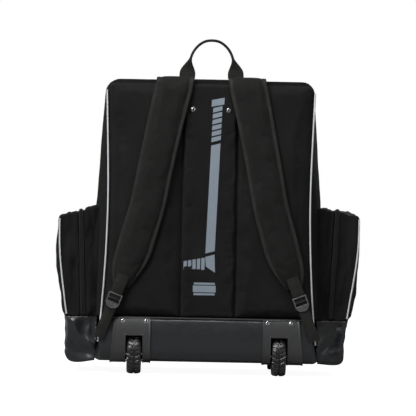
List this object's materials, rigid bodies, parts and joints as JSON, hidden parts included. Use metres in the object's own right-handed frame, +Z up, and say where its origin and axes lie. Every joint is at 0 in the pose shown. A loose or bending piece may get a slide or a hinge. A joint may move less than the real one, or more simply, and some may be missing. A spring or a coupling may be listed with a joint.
{
  "type": "wheeled hockey equipment backpack",
  "caption": "Tall black wheeled sports backpack with padded shoulder straps, side skate pockets, a zipped main door, a pull handle and treaded wheels.",
  "frame": {"origin": "on the floor under the middle of the bag's overall box", "axes": "+Z up, +X to the right when looking at the harness side, -Y out of the harness side, +Y out of the main door"},
  "size_m": [0.7206, 0.424, 0.7983],
  "materials": {
    "shell": "black woven polyester",
    "pad": "black padded polyester",
    "base": "dark coated tarpaulin, slightly glossy",
    "wheel_plate": "moulded dark grey plastic, satin",
    "tyre": "black rubber with a spiral tread",
    "hub": "moulded plastic",
    "bright_steel": "bright plated steel",
    "zip_pull": "black painted metal",
    "piping": "light grey reflective piping",
    "webbing": "black webbing",
    "buckle": "moulded plastic, satin",
    "button": "grey moulded plastic",
    "tube": "drawn tube, satin",
    "black_plastic": "moulded black plastic",
    "board": "stiff plastic sheet",
    "zip": "black coil zip on tape"
  },
  "bodies": {
    "bag": {"main_shell": "shell", "pocket_gusset_left": "shell", "pocket_gusset_right": "shell", "centre_sleeve": "pad", "back_pad_left": "pad", "back_pad_right": "pad", "shoulder_strap_left": "pad", "shoulder_strap_right": "pad", "base_tray": "base", "pocket_base_left": "base", "pocket_base_right": "base", "wheel_housing_left": "wheel_plate", "wheel_housing_right": "wheel_plate", "plate_screw_left_inner": "bright_steel", "plate_screw_left_outer": "bright_steel", "plate_screw_right_inner": "bright_steel", "plate_screw_right_outer": "bright_steel", "frame_screw_left": "bright_steel", "frame_screw_right": "bright_steel", "axle_left": "bright_steel", "axle_right": "bright_steel", "harness_piping_left": "piping", "harness_piping_right": "piping", "carry_loop": "webbing", "strap_tab_left": "webbing", "strap_tab_right": "webbing", "adjusting_web_left": "webbing", "adjusting_web_right": "webbing", "ladder_lock_left": "buckle", "ladder_lock_right": "buckle", "outer_tube_left": "tube", "outer_tube_right": "tube", "handle_bezel": "black_plastic", "tube_foot": "black_plastic", "foot_left": "black_plastic", "foot_right": "black_plastic", "back_board": "board"},
    "wheel_left": {"tyre_left": "tyre", "hub_left": "hub"},
    "wheel_right": {"tyre_right": "tyre", "hub_right": "hub"},
    "handle_middle": {"middle_tube_left": "tube", "middle_tube_right": "tube"},
    "handle_top": {"inner_tube_left": "tube", "inner_tube_right": "tube", "grip": "black_plastic"},
    "button": {"release_button": "button"},
    "door": {"main_door": "shell", "door_gusset": "shell", "door_zip": "zip"},
    "door_pull_left": {"door_slider_left": "zip_pull"},
    "door_pull_right": {"door_slider_right": "zip_pull"},
    "pocket_lid_left": {"pocket_cover_left": "shell", "pocket_zip_left": "zip", "pocket_piping_left": "piping"},
    "pocket_lid_right": {"pocket_cover_right": "shell", "pocket_zip_right": "zip", "pocket_piping_right": "piping"},
    "pocket_pull_left": {"pocket_slider_left": "zip_pull"},
    "pocket_pull_right": {"pocket_slider_right": "zip_pull"}
  },
  "joints": [
    {"name": "wheel_left_spin", "type": "hinge", "parent": "bag", "child": "wheel_left", "pos_m": [-0.172, -0.164, 0.048], "axis": [1, 0, 0], "continuous": true},
    {"name": "wheel_right_spin", "type": "hinge", "parent": "bag", "child": "wheel_right", "pos_m": [0.172, -0.164, 0.048], "axis": [1, 0, 0], "continuous": true},
    {"name": "handle_middle_slide", "type": "slide", "parent": "bag", "child": "handle_middle", "axis": [0, 0, 1], "range_m": [0, 0.17]},
    {"name": "handle_top_slide", "type": "slide", "parent": "handle_middle", "child": "handle_top", "axis": [0, 0, 1], "range_m": [0, 0.17]},
    {"name": "button_press", "type": "slide", "parent": "handle_top", "child": "button", "axis": [0, 0, -1], "range_m": [0, 0.003], "stiffness_N_per_m": 400},
    {"name": "door_open", "type": "hinge", "parent": "bag", "child": "door", "pos_m": [0, 0.213, 0.1325], "axis": [-1, 0, 0], "range_deg": [0, 95]},
    {"name": "door_pull_left_slide", "type": "slide", "parent": "door", "child": "door_pull_left", "axis": [-1, 0, 0], "range_m": [0, 0.1]},
    {"name": "door_pull_right_slide", "type": "slide", "parent": "door", "child": "door_pull_right", "axis": [1, 0, 0], "range_m": [0, 0.26]},
    {"name": "pocket_left_open", "type": "hinge", "parent": "bag", "child": "pocket_lid_left", "pos_m": [-0.3445, 0.005, 0.1325], "axis": [0, -1, 0], "range_deg": [0, 80]},
    {"name": "pocket_right_open", "type": "hinge", "parent": "bag", "child": "pocket_lid_right", "pos_m": [0.3445, 0.005, 0.1325], "axis": [0, 1, 0], "range_deg": [0, 80]},
    {"name": "pocket_pull_left_slide", "type": "slide", "parent": "pocket_lid_left", "child": "pocket_pull_left", "axis": [0, 1, 0], "range_m": [0, 0.2]},
    {"name": "pocket_pull_right_slide", "type": "slide", "parent": "pocket_lid_right", "child": "pocket_pull_right", "axis": [0, 1, 0], "range_m": [0, 0.2]}
  ]
}
